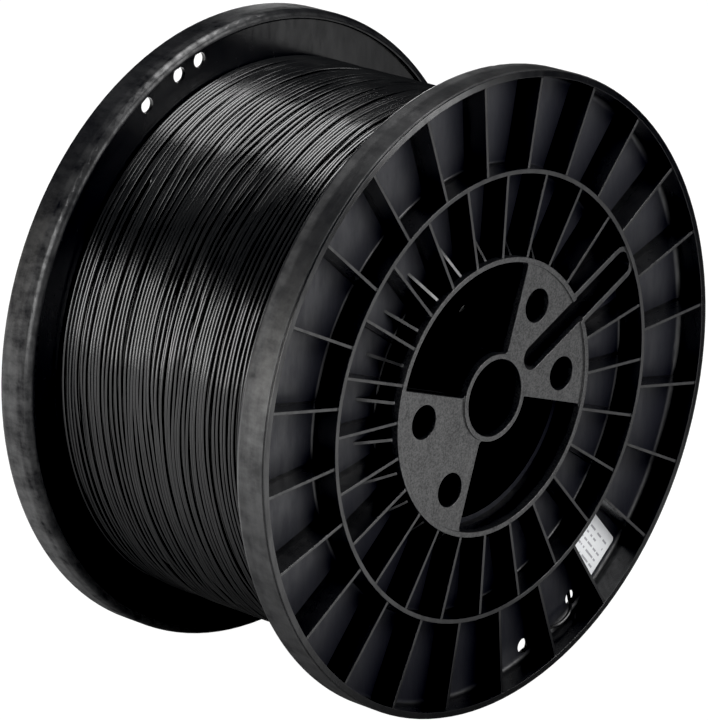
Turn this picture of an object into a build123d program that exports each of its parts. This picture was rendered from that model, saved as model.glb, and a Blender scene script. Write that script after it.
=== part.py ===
from build123d import *
import math
import os

# Large filament spool: two ribbed moulded flanges on a core barrel, wound full of filament.
# The spool stands on its rims with its axis along Y. The front flange is at -Y, +Z is up and
# the origin is the middle of the spool. Angles run from +X towards +Z, seen from the front.
# Depths on a flange are measured inward from its outer face. Units are millimetres.

# Overall
SPOOL_WIDTH = 164.0
FLANGE_R = 150.0

# Flange rim
RIM_WIDTH = 18.0
RIM_WALL = 3.3
RIM_CORNER_R = 3.5
RIM_BEAD = 4.7  # radial width of the raised bead at the winding side of the rim
RIM_LIP = 0.5  # step of the outer edge behind the face
RIM_LIP_DEPTH = 1.2

# Flange web and the two rings on it
WEB_DEPTH = 14.0
WEB_T = 2.0
MID_RING_R = 105.0
MID_RING_T = 2.0
HUB_RING_R = 64.8
HUB_RING_T = 2.3
RIM_FILLET = 2.5
BEAD_FILLET = 0.9
RING_FILLET = 1.2

# Ribs and gussets
RIB_COUNT = 24
RIB_T = 1.4
RIB_TOP = 0.5  # depth of a rib's top edge
OUTER_RIB_ANGLE = 5.45
INNER_RIB_ANGLE = -2.1
GUSSET_TOP = 3.0
GUSSET_REACH = 14.5

# Hub: bore, plate with two open sectors, drive holes
BORE_R = 18.0
BORE_WALL = 2.3
PLATE_TOP = 0.8
PLATE_T = 2.5
HUB_ANGLE = 27.75  # middle of the solid sector that carries the channel
SECTOR_INSET = 2.4
SECTOR_CORNER_R = 2.0
HUB_WALL_T = 2.0
DRIVE_HOLE_R = 8.0
DRIVE_PITCH_R = 46.6
DRIVE_ANGLES = (1.7, 53.8)  # each has a partner half a turn away
DRIVE_BOSS_T = 2.0

# Channel from the hub to the middle ring, for the filament's inner end
CHANNEL_WIDTH = 12.0
CHANNEL_START_R = 23.2
CHANNEL_WALL = 2.4
CHANNEL_CORNER_R = 4.5

# Tie-off holes near the rim, each flange's as seen from its own outer face
TIE_HOLE_R = 3.7
TIE_PITCH_R = 141.2
FRONT_TIE_ANGLES = (-57.2, -66.5, -72.1)
REAR_TIE_ANGLES = (57.5, 66.8, 72.4)

# Core barrel and the spigots that hold it
BARREL_R = 65.0
BARREL_T = 2.5
SPIGOT_LENGTH = 8.0
SPIGOT_T = 2.3
SPIGOT_GAP = 0.1

# Filament
FILAMENT_D = 1.75
WINDING_R = 128.9
WINDING_EDGE_R = 2.0

# Sticker in one cell of the front flange
LABEL_LENGTH = 34.0
LABEL_WIDTH = 24.0
LABEL_T = 0.25
LABEL_CORNER_R = 1.5
LABEL_PITCH_R = 126.0

FACE_Y = -SPOOL_WIDTH / 2
RIB_STEP = 360 / RIB_COUNT
RIM_INNER_R = FLANGE_R - RIM_WALL
MID_INNER_R = MID_RING_R - MID_RING_T
HUB_INNER_R = HUB_RING_R - HUB_RING_T
WEB_BACK = WEB_DEPTH + WEB_T
BARREL_INNER_R = BARREL_R - BARREL_T
SPIGOT_R = BARREL_INNER_R - SPIGOT_GAP
SPIGOT_INNER_R = SPIGOT_R - SPIGOT_T
LABEL_ANGLE = OUTER_RIB_ANGLE - 3.5 * RIB_STEP
BITE = 0.4  # how far a rib or wall runs into its neighbour, so that they join


def band(r_in, r_out, depth, depth_end):
    """Section of a turned ring, in the XY plane, between two radii and two depths."""
    middle = Pos((r_in + r_out) / 2, FACE_Y + (depth + depth_end) / 2)
    return middle * Rectangle(r_out - r_in, depth_end - depth)


def rounded(section, r, depth, radius):
    """Fillet the corner of a section that lies at a radius and a depth."""
    corner = section.vertices().sort_by_distance((r, FACE_Y + depth, 0))[0]
    return fillet(corner, radius)


def at_depth(depth):
    """Sketch plane across the spool's axis, with X to the right and Z up."""
    return Plane(origin=(0, FACE_Y + depth, 0), x_dir=(1, 0, 0), z_dir=(0, -1, 0))


def inward(face, depth, depth_end):
    """Solid of a face drawn across the axis, between two depths."""
    return extrude(at_depth(depth) * face, amount=depth - depth_end)


def turn(angle):
    """Placement that carries the +X direction round to an angle."""
    return Rot(0, -angle, 0)


def polar(radius, angle):
    """Placement in a sketch across the axis."""
    return Pos(radius * math.cos(math.radians(angle)), radius * math.sin(math.radians(angle)))


def turned_body():
    """Rim, web, both rings, bore wall and the spigot for the barrel, as turned shapes."""
    section = band(RIM_INNER_R, FLANGE_R - RIM_LIP, 0, RIM_WIDTH)
    section += band(RIM_INNER_R, FLANGE_R, RIM_LIP_DEPTH, RIM_WIDTH)
    section += band(FLANGE_R - RIM_BEAD, FLANGE_R, WEB_DEPTH, RIM_WIDTH)
    section += band(SPIGOT_INNER_R, FLANGE_R - RIM_BEAD, WEB_DEPTH, WEB_BACK)
    section += band(MID_INNER_R, MID_RING_R, 0, WEB_BACK)
    section += band(HUB_INNER_R, HUB_RING_R, 0, WEB_BACK)
    section += band(SPIGOT_INNER_R, SPIGOT_R, WEB_DEPTH, WEB_BACK + SPIGOT_LENGTH)
    section = rounded(section, FLANGE_R, RIM_WIDTH, RIM_CORNER_R)
    section = rounded(section, FLANGE_R - RIM_BEAD, RIM_WIDTH, BEAD_FILLET)
    section = rounded(section, RIM_INNER_R, WEB_DEPTH, RIM_FILLET)
    section = rounded(section, MID_RING_R, WEB_DEPTH, RING_FILLET)
    section = rounded(section, MID_INNER_R, WEB_DEPTH, RING_FILLET)
    section = rounded(section, HUB_RING_R, WEB_DEPTH, RING_FILLET)
    bore_wall = band(BORE_R, BORE_R + BORE_WALL, 0, WEB_BACK)
    return revolve(section, Axis.Y) + revolve(bore_wall, Axis.Y)


def open_sector(middle_angle):
    """Outline of one open sector of the hub, a quarter turn wide with rounded corners."""
    side = 2 * HUB_INNER_R
    square = Pos(-SECTOR_INSET, -SECTOR_INSET) * Rectangle(side, side, align=(Align.MIN, Align.MIN))
    quarter = Rot(0, 0, middle_angle - 45) * square & Circle(HUB_INNER_R)
    quarter -= Circle(BORE_R + BORE_WALL)
    return fillet(quarter.vertices(), SECTOR_CORNER_R)


def channel_outline():
    """Inside of the channel: a round inner end and a squarer end against the middle ring."""
    half = CHANNEL_WIDTH / 2
    first_r = CHANNEL_START_R + half
    length = MID_INNER_R - RING_FILLET / 2 - first_r
    straight = Pos(first_r, 0) * Rectangle(length, CHANNEL_WIDTH, align=(Align.MIN, Align.CENTER))
    far_corners = straight.vertices().sort_by(Axis.X)[-2:]
    straight = fillet(far_corners, CHANNEL_CORNER_R)
    return Rot(0, 0, HUB_ANGLE) * (straight + Pos(first_r, 0) * Circle(half))


def drive_places():
    """Placements of the four drive holes."""
    return [polar(DRIVE_PITCH_R, a + half_turn) for a in DRIVE_ANGLES for half_turn in (0, 180)]


def hub_parts():
    """Plate with its walls, the bosses of the drive holes and the channel."""
    sectors = [open_sector(HUB_ANGLE + 90), open_sector(HUB_ANGLE - 90)]
    channel = channel_outline()
    disc = Circle(HUB_INNER_R + BITE)
    plate = disc - sectors - channel
    walls = Sketch() + [offset(s, HUB_WALL_T) for s in sectors]
    walls = (walls & disc) - sectors
    bosses = Sketch() + [p * Circle(DRIVE_HOLE_R + DRIVE_BOSS_T) for p in drive_places()]
    channel_wall = (offset(channel, CHANNEL_WALL) & Circle(MID_INNER_R + BITE)) - channel
    floor = (offset(channel, CHANNEL_WALL) & disc) - Circle(BORE_R + BORE_WALL / 2)
    parts = [inward(plate, PLATE_TOP, PLATE_TOP + PLATE_T)]
    parts.append(inward(walls, PLATE_TOP, WEB_BACK))
    parts.append(inward(bosses - channel - sectors, PLATE_TOP, WEB_DEPTH))
    parts.append(inward(channel_wall, PLATE_TOP, WEB_DEPTH + BITE))
    parts.append(inward(floor, WEB_DEPTH, WEB_BACK))
    return parts


def rib(angle, r_in, r_out):
    """Flat rib between two rings."""
    height = WEB_DEPTH + BITE - RIB_TOP
    plate = Box(r_out - r_in, height, RIB_T, align=(Align.MIN, Align.MIN, Align.CENTER))
    return turn(angle) * Pos(r_in, FACE_Y + RIB_TOP, 0) * plate


def gusset(angle):
    """Triangular brace from the hub ring down to the web."""
    root_r = HUB_RING_R - BITE
    foot = FACE_Y + WEB_DEPTH + BITE
    outline = Polyline(
        (root_r, FACE_Y + GUSSET_TOP),
        (root_r, foot),
        (HUB_RING_R + GUSSET_REACH, foot),
        close=True,
    )
    return turn(angle) * extrude(make_face(outline), amount=RIB_T / 2, both=True)


def near_channel(angle, clearance):
    """True if a rib at this angle would run into the channel."""
    return abs((angle - HUB_ANGLE + 180) % 360 - 180) < clearance


def ribs_and_gussets():
    """Outer ribs, inner ribs and gussets; the channel takes the place of one inner rib."""
    parts = []
    for i in range(RIB_COUNT):
        outer = OUTER_RIB_ANGLE + i * RIB_STEP
        inner = INNER_RIB_ANGLE + i * RIB_STEP
        parts.append(rib(outer, MID_RING_R - BITE, RIM_INNER_R + BITE))
        parts.append(gusset(outer))
        if not near_channel(inner, RIB_STEP / 3):
            parts.append(rib(inner, HUB_RING_R - BITE, MID_INNER_R + BITE))
    return parts


def flange(tie_angles):
    """One flange in the front one's place, with its tie-off holes at these angles."""
    body = turned_body() + hub_parts() + ribs_and_gussets()
    body -= inward(Circle(BORE_R), 0, WEB_BACK)
    body -= inward(channel_outline(), 0, WEB_DEPTH)
    for place in drive_places():
        body -= inward(place * Circle(DRIVE_HOLE_R), 0, WEB_BACK)
    for angle in tie_angles:
        body -= inward(polar(TIE_PITCH_R, angle) * Circle(TIE_HOLE_R), RIM_FILLET, RIM_WIDTH)
    return body


def rear_flange():
    """The same moulding turned end for end, with other tie-off holes."""
    return flange(REAR_TIE_ANGLES).rotate(Axis.Z, 180)


def core_barrel():
    """Tube that the filament is wound on, held between the two webs on their spigots."""
    section = band(BARREL_INNER_R, BARREL_R, WEB_BACK, SPOOL_WIDTH - WEB_BACK)
    return revolve(section, Axis.Y)


def filament_winding():
    """The wound filament as one closed ring that fills the spool between the webs."""
    section = band(BARREL_R, WINDING_R, WEB_BACK, SPOOL_WIDTH - WEB_BACK)
    edges = section.vertices().sort_by(Axis.X)[-2:]
    return revolve(fillet(edges, WINDING_EDGE_R), Axis.Y)


def tie_off_route():
    """Points of the filament's outer end: off the winding, out of one tie-off hole and back in
    through the next. Each is (along, outward, Y) about the middle of the two holes, where along
    is from the first hole to the second and outward is the distance from the axis."""
    hole_out, hole_back = FRONT_TIE_ANGLES[0], FRONT_TIE_ANGLES[1]
    half_gap = TIE_PITCH_R * math.sin(math.radians((hole_out - hole_back) / 2))
    web_y = FACE_Y + WEB_DEPTH + WEB_T / 2
    local = [
        (-half_gap - 19.5, 126.1, web_y + 10.0),
        (-half_gap - 12.5, 133.0, web_y + 7.0),
        (-half_gap - 3.6, 139.6, web_y + 3.5),
        (-half_gap + 6.0, 142.6, web_y - 5.6),
        (half_gap - 6.4, 143.0, web_y - 5.6),
        (half_gap + 4.0, 139.3, web_y + 3.5),
        (half_gap + 13.5, 138.0, web_y + 8.5),
    ]
    middle = math.radians((hole_out + hole_back) / 2)
    outward_x, outward_z = math.cos(middle), math.sin(middle)
    along_x, along_z = math.sin(middle), -math.cos(middle)
    return [
        Vector(s * along_x + n * outward_x, y, s * along_z + n * outward_z) for s, n, y in local
    ]


def bend_radii(points):
    """One radius for each inner point: as large as its two runs allow."""
    radii = []
    for before, here, after in zip(points, points[1:], points[2:]):
        run_in, run_out = here - before, after - here
        half_turn = math.radians(run_in.get_angle(run_out)) / 2
        radii.append(0.45 * min(run_in.length, run_out.length) / math.tan(half_turn))
    return radii


def filament_end():
    """Free end of the filament, laced through two tie-off holes of the front flange."""
    points = tie_off_route()
    radii = bend_radii(points)
    print("filament end bend radii:", [round(r, 1) for r in radii])
    path = FilletPolyline(*points, radius=radii)
    start = Plane(origin=path @ 0, z_dir=path % 0)
    tube = sweep(start * Circle(FILAMENT_D / 2), path=path)
    expected = math.pi * FILAMENT_D**2 / 4 * path.length
    print("filament end length:", round(path.length, 1))
    print("filament end volume / expected:", round(tube.volume / expected, 4))
    return tube


def stock_label():
    """Paper sticker on the web, between two outer ribs."""
    outline = RectangleRounded(LABEL_LENGTH, LABEL_WIDTH, LABEL_CORNER_R)
    placed = Rot(0, 0, LABEL_ANGLE) * Pos(LABEL_PITCH_R, 0) * outline
    return inward(placed, WEB_DEPTH - LABEL_T, WEB_DEPTH)


def main():
    os.makedirs("parts", exist_ok=True)
    nodes = {
        "front_flange": flange(FRONT_TIE_ANGLES),
        "rear_flange": rear_flange(),
        "core_barrel": core_barrel(),
        "filament_winding": filament_winding(),
        "filament_end": filament_end(),
        "stock_label": stock_label(),
    }
    for name, shape in nodes.items():
        export_step(shape, f"parts/{name}.step")


main()
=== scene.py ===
"""Looks of the filament spool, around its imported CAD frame. Metres; axis along Y, +Z up."""

import math

import bpy
import numpy as np
from mathutils import Matrix, Vector


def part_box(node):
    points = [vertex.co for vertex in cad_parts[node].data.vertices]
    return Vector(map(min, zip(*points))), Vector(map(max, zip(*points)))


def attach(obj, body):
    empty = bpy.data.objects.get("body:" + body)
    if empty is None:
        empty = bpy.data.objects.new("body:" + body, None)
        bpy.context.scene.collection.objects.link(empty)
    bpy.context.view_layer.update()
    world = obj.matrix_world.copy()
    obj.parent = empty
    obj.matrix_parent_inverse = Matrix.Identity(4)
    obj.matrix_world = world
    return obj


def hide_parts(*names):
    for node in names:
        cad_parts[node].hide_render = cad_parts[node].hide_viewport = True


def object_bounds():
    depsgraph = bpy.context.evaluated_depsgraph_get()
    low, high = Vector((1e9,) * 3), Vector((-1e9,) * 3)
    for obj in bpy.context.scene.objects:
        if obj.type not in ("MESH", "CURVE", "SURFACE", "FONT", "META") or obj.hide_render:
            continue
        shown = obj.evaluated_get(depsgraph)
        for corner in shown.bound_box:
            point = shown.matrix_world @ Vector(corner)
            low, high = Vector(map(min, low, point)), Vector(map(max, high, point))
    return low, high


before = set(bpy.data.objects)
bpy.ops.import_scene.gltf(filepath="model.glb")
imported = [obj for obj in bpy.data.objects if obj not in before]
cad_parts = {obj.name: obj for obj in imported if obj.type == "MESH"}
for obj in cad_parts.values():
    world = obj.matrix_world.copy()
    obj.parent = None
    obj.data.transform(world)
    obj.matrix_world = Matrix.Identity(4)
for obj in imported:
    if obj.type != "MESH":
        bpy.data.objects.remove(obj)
CAD_LOW, CAD_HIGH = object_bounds()

MM = 0.001
SEED = 20417

# Sizes read from the frame
FLANGE_R = CAD_HIGH.x
FLANGE_Y = CAD_HIGH.y
FLOOR_Z = CAD_LOW.z
HUB_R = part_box("core_barrel")[1].x
WINDING_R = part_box("filament_winding")[1].x
WINDING_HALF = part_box("filament_winding")[1].y
LABEL_LOW, LABEL_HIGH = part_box("stock_label")

# Looks that more than one place depends on
CREST_LEAN = 0.3  # how far the crowned top of the rim leans outward
BARREL_WALL = 2.5 * MM
BARREL_BEVEL = 0.3 * MM

# Camera, from where the photograph was taken
CAMERA_AZIMUTH = -47.67
CAMERA_ELEVATION = 17.7
CAMERA_ROLL = 1.8
CAMERA_DISTANCE = 15.268 * FLANGE_R
CAMERA_OFFSET = (0.022 * FLANGE_R, 0.011 * FLANGE_R)
CAMERA_LENS = 249.1
BLACK_POINT = 0.004

# Filament and how it lies
FILAMENT_R = 0.875 * MM
TURNS = 56
TOP_R = WINDING_R - FILAMENT_R
TOP_STEPS, TOP_SIDES = 216, 8
LOWER_STEPS, LOWER_SIDES = 144, 6
BASE_STEPS = 96
BARREL_STEPS = 192


# ---------------------------------------------------------------- nodes


class Nodes:
    """A short way to write a node tree."""

    def __init__(self, tree):
        self.tree = tree
        tree.nodes.clear()

    def add(self, kind, settings=None, **inputs):
        node = self.tree.nodes.new(kind)
        for key, value in (settings or {}).items():
            setattr(node, key, value)
        for key, value in inputs.items():
            self.put(node, key.replace("_", " "), value)
        return node

    def put(self, node, key, value):
        socket = node.inputs[int(key)] if key.isdigit() else node.inputs[key]
        if isinstance(value, bpy.types.NodeSocket):
            self.tree.links.new(value, socket)
        else:
            socket.default_value = value

    def math(self, operation, a, b=0.0, clamp=False):
        node = self.add("ShaderNodeMath", {"operation": operation, "use_clamp": clamp})
        self.put(node, "0", a)
        self.put(node, "1", b)
        return node.outputs[0]

    def ramp(self, value, low, high, low_to, high_to):
        node = self.add("ShaderNodeMapRange", {"interpolation_type": "SMOOTHSTEP"})
        for key, entry in zip(
            ("Value", "From Min", "From Max", "To Min", "To Max"),
            (value, low, high, low_to, high_to),
        ):
            self.put(node, key, entry)
        return node.outputs["Result"]

    def noise(self, vector, scale, detail=2.0, roughness=0.5):
        node = self.add("ShaderNodeTexNoise", Scale=scale, Detail=detail, Roughness=roughness)
        self.put(node, "Vector", vector)
        return node.outputs["Fac"]

    def mix(self, factor, a, b):
        node = self.add("ShaderNodeMix", {"data_type": "RGBA"})
        self.tree.links.new(factor, node.inputs["Factor"])
        self.put_colour(node.inputs[6], a)
        self.put_colour(node.inputs[7], b)
        return node.outputs[2]

    def put_colour(self, socket, value):
        if isinstance(value, bpy.types.NodeSocket):
            self.tree.links.new(value, socket)
        else:
            socket.default_value = (*value, 1.0)

    def scaled(self, vector, scale):
        node = self.add("ShaderNodeMapping", Vector=vector)
        node.inputs["Scale"].default_value = scale
        return node.outputs["Vector"]

    def bump(self, height, strength, distance, normal=None):
        node = self.add("ShaderNodeBump", Height=height, Strength=strength, Distance=distance)
        if normal is not None:
            self.put(node, "Normal", normal)
        return node.outputs["Normal"]


def new_material(name):
    """A node material with only a Principled surface."""
    material = bpy.data.materials.new(name)
    material.use_nodes = True
    nodes = Nodes(material.node_tree)
    output = nodes.add("ShaderNodeOutputMaterial")
    shader = nodes.add("ShaderNodeBsdfPrincipled")
    nodes.tree.links.new(shader.outputs["BSDF"], output.inputs["Surface"])
    place = nodes.add("ShaderNodeTexCoord").outputs["Object"]
    return material, nodes, shader, place


# ---------------------------------------------------------------- materials


def flange_plastic():
    """Black moulded plastic: satin webs, speckled hub, scuffed crowned rim, worn top edges; a lighter
    tone on the sunk web faces that face along the axis is painted light.
    """
    material, nodes, shader, place = new_material("flange_plastic_look")
    parts = nodes.add("ShaderNodeSeparateXYZ", Vector=place)
    flat = nodes.add("ShaderNodeCombineXYZ", X=parts.outputs["X"], Z=parts.outputs["Z"])
    length = nodes.add("ShaderNodeVectorMath", {"operation": "LENGTH"}, Vector=flat.outputs[0])
    from_axis = length.outputs["Value"]
    grain = nodes.noise(place, 1100.0, 3.0, 0.65)
    cloud = nodes.noise(place, 22.0, 4.0, 0.55)
    smear = nodes.noise(nodes.scaled(place, (210.0, 210.0, 55.0)), 1.0, 4.0, 0.65)
    height = nodes.math("ABSOLUTE", parts.outputs["Y"])
    top = nodes.ramp(height, FLANGE_Y - 5 * MM, FLANGE_Y - 3 * MM, 0.0, 1.0)
    hub = nodes.math("MULTIPLY", nodes.ramp(from_axis, HUB_R, HUB_R + 2 * MM, 1.0, 0.0), top)
    sunk = web_height(nodes, height)
    # where painted light goes: the sunk web faces that face along the axis
    web = nodes.math("MULTIPLY", sunk, faces_along_axis(nodes))
    crest = rim_crest(nodes, from_axis, height)
    outside = nodes.ramp(from_axis, FLANGE_R - 3.2 * MM, FLANGE_R - 2.6 * MM, 0.0, 1.0)
    rim = nodes.math("MULTIPLY", outside, nodes.math("SUBTRACT", 1.0, crest))
    blotch = nodes.noise(nodes.scaled(place, (95.0, 45.0, 95.0)), 1.0, 5.0, 0.7)
    scuff = nodes.math("MULTIPLY", rim, nodes.ramp(blotch, 0.3, 0.7, -0.17, 0.2))
    radius = nodes.math("MULTIPLY", top, 0.35 * MM)
    edge = nodes.add("ShaderNodeBevel", {"samples": 4}, Radius=radius).outputs["Normal"]
    worn = nodes.math("MULTIPLY", worn_edges(nodes, edge), top)
    tone = nodes.mix(cloud, (0.0016, 0.0017, 0.0021), (0.0032, 0.0033, 0.004))
    # painted light: sunk web faces that face along the axis get a lighter bluish tone than the walls
    # and tops of the same plastic, standing in for the front light on them
    lit_web_tone = nodes.mix(smear, (0.0045, 0.0048, 0.0075), (0.0075, 0.0078, 0.0115))
    tone = nodes.mix(web, tone, lit_web_tone)
    nodes.put(shader, "Base Color", nodes.mix(worn, tone, (0.02, 0.02, 0.021)))
    rough = nodes.ramp(cloud, 0.3, 0.7, 0.19, 0.26)
    flow = nodes.ramp(smear, 0.35, 0.75, -0.3, 0.7)
    for part, more in ((hub, 0.1), (rim, 0.17), (sunk, 0.18), (flow, 0.08)):
        rough = nodes.math("ADD", rough, nodes.math("MULTIPLY", part, more))
    nodes.put(shader, "Roughness", rough)
    speckle = nodes.math("MULTIPLY", nodes.ramp(grain, 0.3, 0.7, -0.28, 0.28), hub)
    gloss = nodes.math("ADD", nodes.ramp(smear, 0.3, 0.7, 0.52, 0.36), speckle)
    gloss = nodes.math("ADD", gloss, nodes.math("MULTIPLY", hub, 0.2))
    gloss = nodes.math("ADD", gloss, nodes.math("MULTIPLY", sunk, -0.09))
    gloss = nodes.math("ADD", gloss, nodes.math("ADD", scuff, nodes.math("MULTIPLY", rim, 0.06)))
    rear = nodes.ramp(parts.outputs["Y"], 0.0, WINDING_HALF, 0.0, 1.0)
    rear_rim = nodes.math("MULTIPLY", rim, rear)  # duller, as in the photograph
    gloss = nodes.math("SUBTRACT", gloss, nodes.math("MULTIPLY", rear_rim, 0.21))
    nodes.put(shader, "Specular IOR Level", gloss)
    strength = nodes.ramp(hub, 0.0, 1.0, 0.06, 0.22)
    rounded = crowned(nodes, edge, flat.outputs[0], crest)
    nodes.put(shader, "Normal", nodes.bump(grain, strength, 0.05 * MM, rounded))
    shader.inputs["IOR"].default_value = 1.55
    return material


def rim_crest(nodes, from_axis, height):
    """1 on the top edge of the rim's wall, 0 elsewhere."""
    wall = nodes.ramp(from_axis, FLANGE_R - 4.2 * MM, FLANGE_R - 3.6 * MM, 0.0, 1.0)
    edge = nodes.ramp(height, FLANGE_Y - 1.4 * MM, FLANGE_Y - 0.8 * MM, 0.0, 1.0)
    return nodes.math("MULTIPLY", wall, edge)


def web_height(nodes, height):
    """1 at the sunk outer face of a flange's web, 0 at its tops and its winding side."""
    above = nodes.ramp(height, WINDING_HALF + 0.6 * MM, WINDING_HALF + 1.4 * MM, 0.0, 1.0)
    below = nodes.ramp(height, FLANGE_Y - 12 * MM, FLANGE_Y - 9 * MM, 1.0, 0.0)
    return nodes.math("MULTIPLY", above, below)


def faces_along_axis(nodes):
    """1 where the surface faces along the spool's axis, 0 on upright walls."""
    normal = nodes.add("ShaderNodeNewGeometry").outputs["Normal"]
    parts = nodes.add("ShaderNodeSeparateXYZ", Vector=normal)
    return nodes.ramp(nodes.math("ABSOLUTE", parts.outputs["Y"]), 0.7, 0.95, 0.0, 1.0)


def crowned(nodes, normal, outward, amount):
    """A normal leant a little outward, as on the crowned top of the rim."""
    unit = nodes.add("ShaderNodeVectorMath", {"operation": "NORMALIZE"}, Vector=outward)
    lean = nodes.add("ShaderNodeVectorMath", {"operation": "SCALE"}, Vector=unit.outputs[0])
    nodes.put(lean, "Scale", nodes.math("MULTIPLY", amount, CREST_LEAN))
    total = nodes.add("ShaderNodeVectorMath", {"operation": "ADD"})
    nodes.put(total, "0", normal)
    nodes.put(total, "1", lean.outputs[0])
    whole = nodes.add("ShaderNodeVectorMath", {"operation": "NORMALIZE"}, Vector=total.outputs[0])
    return whole.outputs[0]


def worn_edges(nodes, rounded):
    """How sharply the surface turns here: 0 on a flat face, 1 on a worn edge."""
    flat = nodes.add("ShaderNodeNewGeometry").outputs["Normal"]
    likeness = nodes.add("ShaderNodeVectorMath", {"operation": "DOT_PRODUCT"})
    nodes.put(likeness, "0", flat)
    nodes.put(likeness, "1", rounded)
    return nodes.ramp(likeness.outputs["Value"], 0.8, 0.98, 1.0, 0.0)


def barrel_plastic_and_shade():
    """Satin black extruded tube: fine lines along the axis; its tone and gloss are turned down further
    as painted shade inside the hub.
    """
    material, nodes, shader, place = new_material("barrel_shaded_plastic_look")
    lines = nodes.noise(nodes.scaled(place, (900.0, 20.0, 900.0)), 1.0, 2.0)
    cloud = nodes.noise(place, 30.0, 3.0)
    # painted shade: a tone darker than the flanges' black, with low gloss below, so the inside of the
    # hub reads as shaded
    tone = nodes.mix(cloud, (0.0008, 0.0008, 0.001), (0.0016, 0.0016, 0.0018))
    nodes.put(shader, "Base Color", tone)
    nodes.put(shader, "Roughness", nodes.ramp(cloud, 0.3, 0.7, 0.38, 0.5))
    nodes.put(shader, "Normal", nodes.bump(lines, 0.3, 0.08 * MM))
    shader.inputs["Specular IOR Level"].default_value = 0.04
    return material


def filament_plastic():
    """Glossy black extruded strand with slow changes of tone and gloss."""
    material, nodes, shader, place = new_material("filament_look")
    slow = nodes.noise(place, 60.0, 3.0)
    tone = nodes.mix(slow, (0.003, 0.0031, 0.0034), (0.006, 0.0062, 0.0065))
    nodes.put(shader, "Base Color", tone)
    nodes.put(shader, "Roughness", nodes.ramp(slow, 0.3, 0.7, 0.14, 0.22))
    return material


def label_paper():
    """White coated paper with faint grey lines of illegible small print along it."""
    material, nodes, shader, place = new_material("label_paper_look")
    centre = (LABEL_LOW + LABEL_HIGH) / 2
    turned = nodes.add("ShaderNodeMapping", {"vector_type": "TEXTURE"}, Vector=place)
    turned.inputs["Location"].default_value = centre
    turned.inputs["Rotation"].default_value = (0.0, math.radians(-label_angle()), 0.0)
    local = nodes.add("ShaderNodeSeparateXYZ", Vector=turned.outputs["Vector"])
    along, across = local.outputs["X"], local.outputs["Z"]
    row_place = nodes.math("DIVIDE", across, 3.4 * MM)
    in_row = nodes.math("FRACT", nodes.math("ADD", row_place, 20.5))
    bar = nodes.math("LESS_THAN", nodes.math("ABSOLUTE", nodes.math("SUBTRACT", in_row, 0.5)), 0.15)
    row = nodes.math("FLOOR", nodes.math("ADD", row_place, 20.5))
    words = nodes.add("ShaderNodeCombineXYZ")
    nodes.put(words, "X", nodes.math("MULTIPLY", along, 520.0))
    nodes.put(words, "Y", nodes.math("MULTIPLY", row, 7.3))
    gaps = nodes.math("GREATER_THAN", nodes.noise(words.outputs[0], 1.0, 0.0), 0.42)
    inside = nodes.math("LESS_THAN", nodes.math("ABSOLUTE", across), 9.2 * MM)
    length = nodes.math("LESS_THAN", nodes.math("ABSOLUTE", along), 14.0 * MM)
    printed = nodes.math("MULTIPLY", inside, length)
    ink = nodes.math("MULTIPLY", nodes.math("MULTIPLY", bar, gaps), printed)
    fibre = nodes.noise(place, 900.0, 3.0)
    paper = nodes.mix(fibre, (0.66, 0.67, 0.69), (0.74, 0.75, 0.76))
    nodes.put(shader, "Base Color", nodes.mix(ink, paper, (0.3, 0.3, 0.32)))
    nodes.put(shader, "Roughness", nodes.ramp(fibre, 0.3, 0.7, 0.42, 0.6))
    nodes.put(shader, "Normal", nodes.bump(fibre, 0.2, 0.04 * MM))
    return material


def label_angle():
    """Angle of the label's middle about the axis, in degrees from +X towards +Z."""
    centre = (LABEL_LOW + LABEL_HIGH) / 2
    return math.degrees(math.atan2(centre.z, centre.x))


def dress_cad_nodes():
    """Give each CAD node that stays in view its material."""
    flange = flange_plastic()
    for name, material in {
        "front_flange": flange,
        "rear_flange": flange,
        "filament_end": FILAMENT,
        "stock_label": label_paper(),
    }.items():
        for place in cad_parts[name].material_slots:
            place.material = material


# ---------------------------------------------------------------- winding


def strand_noise(rng, count, per_turn):
    """Smooth noise along one long strand that closes on itself, about 0 with spread 1."""
    knots = rng.standard_normal(int(round(count * per_turn)))
    places = np.arange(count * 720) / 720.0 * per_turn
    index = np.floor(places).astype(int)
    t = places - index
    ease = t * t * (3 - 2 * t)
    first = knots[index % len(knots)]
    second = knots[(index + 1) % len(knots)]
    return first * (1 - ease) + second * ease


def turn_gaps(rng, steps, per_turn, looseness):
    """Clear gap between each turn and the next, at each step round the axis."""
    noise = strand_noise(rng, TURNS, per_turn).reshape(TURNS, 720)
    noise = noise[:, :: 720 // steps] if 720 % steps == 0 else resample(noise, steps)
    gaps = np.maximum(noise * looseness + 0.35, 0.0) + 0.012
    room = 2 * WINDING_HALF - 2 * FILAMENT_R * (TURNS + 1) - 0.4 * MM
    return gaps * (room / gaps.sum(0))


def resample(values, steps):
    """Rows of values round a turn, read at another number of steps."""
    places = np.arange(steps) / steps * values.shape[1]
    index = np.floor(places).astype(int)
    t = places - index
    following = np.concatenate([values[1:], values[:1]])
    extended = np.concatenate([values, following[:, :1]], axis=1)
    return extended[:, index] * (1 - t) + extended[:, index + 1] * t


def lay_turns(rng, steps, per_turn, looseness, hand):
    """Y of every turn at every step: one helix from the front web to the rear one."""
    gaps = turn_gaps(rng, steps, per_turn, looseness)
    pitch = gaps + 2 * FILAMENT_R
    share = np.arange(steps) / steps
    first = pitch[0, 0] * share
    starts = np.concatenate([np.zeros((1, steps)), np.cumsum(pitch[:-1], axis=0)])
    y = -WINDING_HALF + FILAMENT_R + 0.2 * MM + starts + first
    return y if hand > 0 else -y


def rest_on(y, below_y, below_r):
    """Radius at which strands at y rest on the strands below them."""
    apart = np.abs(y[:, None, :] - below_y[None, :, :])
    reach = np.sqrt(np.maximum((2 * FILAMENT_R) ** 2 - apart**2, 0.0))
    heights = np.where(apart < 2 * FILAMENT_R, below_r[None, :, :] + reach, 0.0)
    return heights.max(axis=1)


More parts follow.
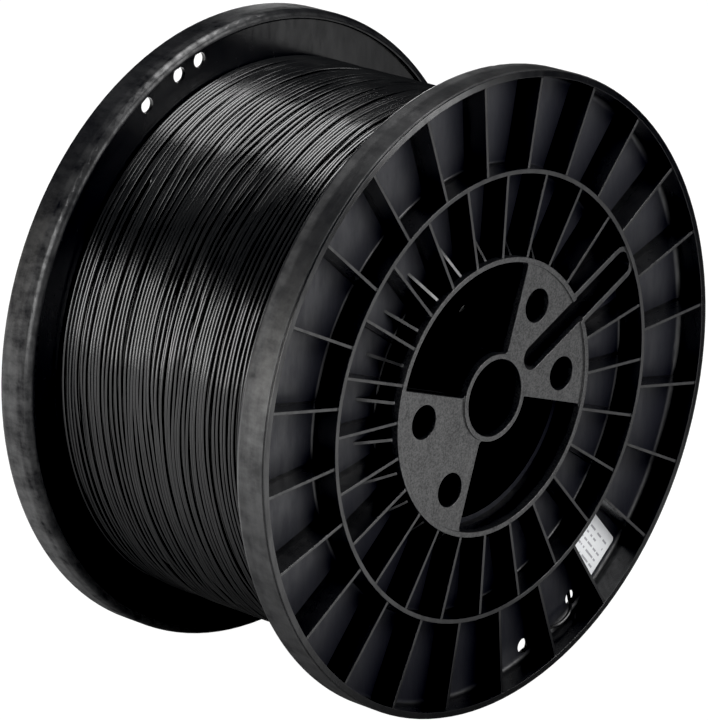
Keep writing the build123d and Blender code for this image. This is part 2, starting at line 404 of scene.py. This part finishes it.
def smooth_round(values, steps_wide):
    """Running mean round the axis, along the strand rather than along each ring."""
    flat = values.reshape(-1)
    kernel = np.hanning(2 * steps_wide + 3)[1:-1]
    kernel /= kernel.sum()
    padded = np.pad(flat, steps_wide, mode="edge")
    return np.convolve(padded, kernel, mode="valid").reshape(values.shape)


def winding_layers():
    """Three layers of turns, from the lowest that can be seen to the top one."""
    rng = np.random.default_rng(SEED)
    base_y = lay_turns(rng, 720, 5.0, 0.35, 1)
    lower_y = lay_turns(rng, 720, 6.0, 0.6, -1)
    top_y = lay_turns(rng, 720, 7.0, 0.75, 1)
    base_r = np.full_like(base_y, TOP_R - 2.85 * MM)
    lower_r = smooth_round(rest_on(lower_y, base_y, base_r), 12)
    top_r = smooth_round(rest_on(top_y, lower_y, lower_r), 12)
    drop = np.percentile(top_r, 60) - TOP_R
    return (base_y, base_r - drop), (lower_y, lower_r - drop), (top_y, top_r - drop)


def tube_mesh(name, y, r, sides):
    """Tube that follows one long helix through its turns, closed at both ends."""
    turns, steps = y.shape
    angle = np.tile(np.arange(steps) / steps * 2 * math.pi, turns)
    y, r = y.reshape(-1), r.reshape(-1)
    round_section = np.arange(sides) / sides * 2 * math.pi
    out = FILAMENT_R * np.cos(round_section)
    side = FILAMENT_R * np.sin(round_section)
    radius = r[:, None] + out[None, :]
    points = np.stack(
        [
            radius * np.cos(angle)[:, None],
            y[:, None] + side[None, :],
            radius * np.sin(angle)[:, None],
        ],
        axis=2,
    )
    return capped_tube(name, points)


def capped_tube(name, points):
    """Mesh of quads over rows of closed sections, with a cap at each end."""
    rows, sides = points.shape[:2]
    corner = np.arange(rows * sides).reshape(rows, sides)
    across = np.roll(corner, -1, axis=1)
    quads = np.stack([corner[:-1], across[:-1], across[1:], corner[1:]], axis=2).reshape(-1, 4)
    return smooth_piece(name, points, [*quads.tolist(), corner[0][::-1].tolist(), corner[-1].tolist()])


def smooth_piece(name, points, faces):
    """Smooth-shaded object with these points and faces."""
    mesh = bpy.data.meshes.new(name)
    mesh.from_pydata(points.reshape(-1, 3).tolist(), [], faces)
    mesh.polygons.foreach_set("use_smooth", [True] * len(mesh.polygons))
    mesh.update()
    piece = bpy.data.objects.new(name, mesh)
    bpy.context.scene.collection.objects.link(piece)
    return piece


def base_surface(name, y, r):
    """Closed ring whose outside is ribbed like the turns that show between those above."""
    turns, steps = y.shape
    across = 7
    offsets = np.linspace(-0.92, 0.92, across) * FILAMENT_R
    height = np.sqrt(FILAMENT_R**2 - offsets**2)
    profile_y = (y[:, None, :] + offsets[None, :, None]).reshape(turns * across, steps)
    profile_r = (r[:, None, :] + height[None, :, None]).reshape(turns * across, steps)
    order = np.argsort(profile_y, axis=0)
    profile_y = np.take_along_axis(profile_y, order, axis=0)
    profile_r = np.take_along_axis(profile_r, order, axis=0)
    limit = WINDING_HALF - 0.05 * MM
    ends = []
    for edge_y in (-limit, limit):
        for edge_r in (HUB_R, float(r.min())):
            ends.append((np.full((1, steps), edge_y), np.full((1, steps), edge_r)))
    columns = [ends[0], ends[1], (profile_y, profile_r), ends[3], ends[2]]
    ring_y = np.concatenate([c[0] for c in columns]).clip(-limit, limit)
    ring_r = np.concatenate([c[1] for c in columns])
    angle = np.arange(steps + 1) % steps
    theta = angle / steps * 2 * math.pi
    ring_y, ring_r = ring_y[:, angle].T, ring_r[:, angle].T
    points = np.stack(
        [ring_r * np.cos(theta)[:, None], ring_y, ring_r * np.sin(theta)[:, None]], axis=2
    )
    return closed_ring(name, points[:-1])


def closed_ring(name, points):
    """Mesh of quads that closes both round the axis and round its own section."""
    rows, sides = points.shape[:2]
    corner = np.arange(rows * sides).reshape(rows, sides)
    across = np.roll(corner, -1, axis=1)
    following = np.roll(corner, -1, axis=0)
    both = np.roll(across, -1, axis=0)
    quads = np.stack([corner, across, both, following], axis=2).reshape(-1, 4)
    return smooth_piece(name, points, quads.tolist())


def make_barrel():
    """The core tube, turned with a small bevel on each edge."""
    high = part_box("core_barrel")[1]
    outer, half = high.x, high.y
    inner, bevel = outer - BARREL_WALL, BARREL_BEVEL
    section = [
        (outer, -half + bevel), (outer, half - bevel), (outer - bevel, half),
        (inner + bevel, half), (inner, half - bevel), (inner, -half + bevel),
        (inner + bevel, -half), (outer - bevel, -half),
    ]
    theta = np.arange(BARREL_STEPS) / BARREL_STEPS * 2 * math.pi
    radius, y = np.array(section).T
    points = np.stack(
        [
            np.cos(theta)[:, None] * radius,
            np.ones((BARREL_STEPS, 1)) * y,
            np.sin(theta)[:, None] * radius,
        ],
        axis=2,
    )
    barrel = closed_ring("barrel", points)
    sharpen(barrel)
    barrel.data.materials.append(barrel_plastic_and_shade())
    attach(barrel, "root")
    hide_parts("core_barrel")


def sharpen(piece):
    """Keep the edges of a smooth-shaded mesh crisp where its faces turn sharply."""
    piece.data.set_sharp_from_angle(angle=math.radians(35))


def make_winding():
    """The wound filament: two layers of real turns over a core ribbed like turns."""
    base, lower, top = winding_layers()
    pieces = [
        base_surface("winding_core", *(resample(v, BASE_STEPS) for v in base)),
        tube_mesh("winding_lower", *(resample(v, LOWER_STEPS) for v in lower), LOWER_SIDES),
        tube_mesh("winding_top", *(resample(v, TOP_STEPS) for v in top), TOP_SIDES),
    ]
    for piece in pieces:
        piece.data.materials.append(FILAMENT)
        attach(piece, "root")
    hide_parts("filament_winding")


# ---------------------------------------------------------------- stage


def make_floor():
    """Pale seamless floor, exposed to an even white where the camera sees it; to other rays it glows
    with painted light, dimmed near the spool as painted shadow.
    """
    reach = 60.0
    mesh = bpy.data.meshes.new("floor")
    signs = ((-1, -1), (1, -1), (1, 1), (-1, 1))
    corners = [(reach * x, reach * y, FLOOR_Z) for x, y in signs]
    mesh.from_pydata(corners, [], [(0, 1, 2, 3)])
    floor = bpy.data.objects.new("floor", mesh)
    bpy.context.scene.collection.objects.link(floor)
    material, nodes, shader, place = new_material("floor_look")
    cloud = nodes.noise(place, 0.7, 2.0)
    nodes.put(shader, "Base Color", nodes.mix(cloud, (0.05, 0.05, 0.05), (0.06, 0.06, 0.06)))
    shader.inputs["Roughness"].default_value = 0.9
    shader.inputs["Specular IOR Level"].default_value = 0.0
    shader.inputs["Emission Color"].default_value = (1.0, 1.0, 1.0, 1.0)
    seen = nodes.add("ShaderNodeLightPath").outputs["Is Camera Ray"]
    # painted light: the floor glows for all rays but the camera's
    glow = nodes.math("MULTIPLY", nodes.math("SUBTRACT", 1.0, seen), floor_glow(nodes, place))
    nodes.put(shader, "Emission Strength", nodes.math("ADD", seen, glow))
    material.cycles.emission_sampling = "NONE"
    mesh.materials.append(material)


def floor_glow(nodes, place):
    """Painted light of the floor in reflections: a glow that stands in for the lit floor, less near
    the spool, beside it and at its right as painted shadow.
    """
    parts = nodes.add("ShaderNodeSeparateXYZ", Vector=place)
    x, y = parts.outputs["X"], parts.outputs["Y"]
    nearness = nodes.add("ShaderNodeCombineXYZ")
    nodes.put(nearness, "X", nodes.math("SUBTRACT", x, 0.4 * FLANGE_R))
    beside = nodes.math("SUBTRACT", nodes.math("ABSOLUTE", y), 0.45 * FLANGE_R)
    nodes.put(nearness, "Y", nodes.math("MULTIPLY", nodes.math("MAXIMUM", beside, 0.0), 2.5))
    away = nodes.add("ShaderNodeVectorMath", {"operation": "LENGTH"}, Vector=nearness.outputs[0])
    # painted shadow: the glow falls to 0.05 close to the spool
    open_floor = nodes.ramp(away.outputs["Value"], 0.6 * FLANGE_R, 2.1 * FLANGE_R, 0.05, 1.0)
    depth = nodes.math("ABSOLUTE", y)
    side = nodes.math("SUBTRACT", x, depth)
    left = nodes.ramp(side, -2.2 * FLANGE_R, 0.3 * FLANGE_R, 1.4, 0.62)
    right = nodes.ramp(side, 0.8 * FLANGE_R, 2.2 * FLANGE_R, 1.0, 0.0)
    ends = nodes.ramp(depth, 0.5 * FLANGE_R, 2.0 * FLANGE_R, 0.52, 1.3)
    sides = nodes.math("MULTIPLY", left, right)
    return nodes.math("MULTIPLY", nodes.math("MULTIPLY", open_floor, sides), ends)


def softbox(name, place, aim, size, radiance, colour=(1.0, 1.0, 1.0)):
    """Rectangular studio light at a place, turned to aim at a point."""
    data = bpy.data.lights.new(name, "AREA")
    data.shape = "RECTANGLE"
    data.size, data.size_y = size
    data.energy = radiance * math.pi * size[0] * size[1]
    data.color = colour
    light = bpy.data.objects.new(name, data)
    light.location = place
    turn = (Vector(aim) - Vector(place)).to_track_quat("-Z", "Y")
    light.rotation_mode = "QUATERNION"
    light.rotation_quaternion = turn
    light.visible_camera = False
    bpy.context.scene.collection.objects.link(light)
    return light


def make_lights():
    """Softboxes above, at the front, behind, at the left and behind on the left."""
    softbox("overhead", (0.07, -0.09, 1.05), (0.07, -0.09, 0.0), (0.52, 0.75), 13.5)
    softbox("front", (0.31, -1.08, 0.62), (0.0, 0.0, 0.0), (1.0, 0.66), 8.3)
    softbox("back", (0.55, 1.15, 0.12), (0.0, 0.0, 0.0), (0.9, 0.5), 4.5)
    softbox("left", (-1.5, 0.0, 0.4), (0.0, 0.0, 0.4), (1.1, 0.78), 12.0)
    softbox("back_left", (-1.15, 1.0, 0.3), (0.0, 0.0, 0.1), (0.9, 0.8), 1.3, (1.0, 0.97, 0.9))


def make_world():
    """Dark studio, whose backdrop is exposed to an even white where the camera sees it."""
    world = bpy.data.worlds.new("studio")
    bpy.context.scene.world = world
    world.use_nodes = True
    nodes = Nodes(world.node_tree)
    output = nodes.add("ShaderNodeOutputWorld")
    seen = nodes.add("ShaderNodeLightPath").outputs["Is Camera Ray"]
    strength = nodes.math("ADD", nodes.math("MULTIPLY", seen, 1.02), 0.01)
    background = nodes.add("ShaderNodeBackground", Strength=strength)
    background.inputs["Color"].default_value = (1.0, 1.0, 1.0, 1.0)
    nodes.tree.links.new(background.outputs[0], output.inputs["Surface"])


def make_camera():
    """Camera at the photograph's viewing angle."""
    azimuth, elevation, roll = (
        math.radians(a) for a in (CAMERA_AZIMUTH, CAMERA_ELEVATION, CAMERA_ROLL)
    )
    level = math.cos(elevation)
    back = Vector((math.sin(azimuth) * level, -math.cos(azimuth) * level, math.sin(elevation)))
    flat_right = Vector((math.cos(azimuth), math.sin(azimuth), 0.0))
    flat_up = back.cross(flat_right)
    right = math.cos(roll) * flat_right + math.sin(roll) * flat_up
    up = math.cos(roll) * flat_up - math.sin(roll) * flat_right
    data = bpy.data.cameras.new("camera")
    data.lens = CAMERA_LENS
    data.clip_start, data.clip_end = 0.05, 100.0
    camera = bpy.data.objects.new("camera", data)
    bpy.context.scene.collection.objects.link(camera)
    place = back * CAMERA_DISTANCE - right * CAMERA_OFFSET[0] - up * CAMERA_OFFSET[1]
    turn = Matrix((right, up, back)).transposed()
    camera.matrix_world = Matrix.Translation(place) @ turn.to_4x4()
    bpy.context.scene.camera = camera


def set_view():
    """Plain display of the scene's own brightness, with the photograph's deep blacks."""
    view = bpy.context.scene.view_settings
    view.view_transform = "Standard"
    view.use_curve_mapping = True
    view.curve_mapping.black_level = (BLACK_POINT, BLACK_POINT, BLACK_POINT)
    view.curve_mapping.update()


make_camera()
set_view()
make_world()
make_lights()
make_floor()
FILAMENT = filament_plastic()
dress_cad_nodes()
make_barrel()
make_winding()
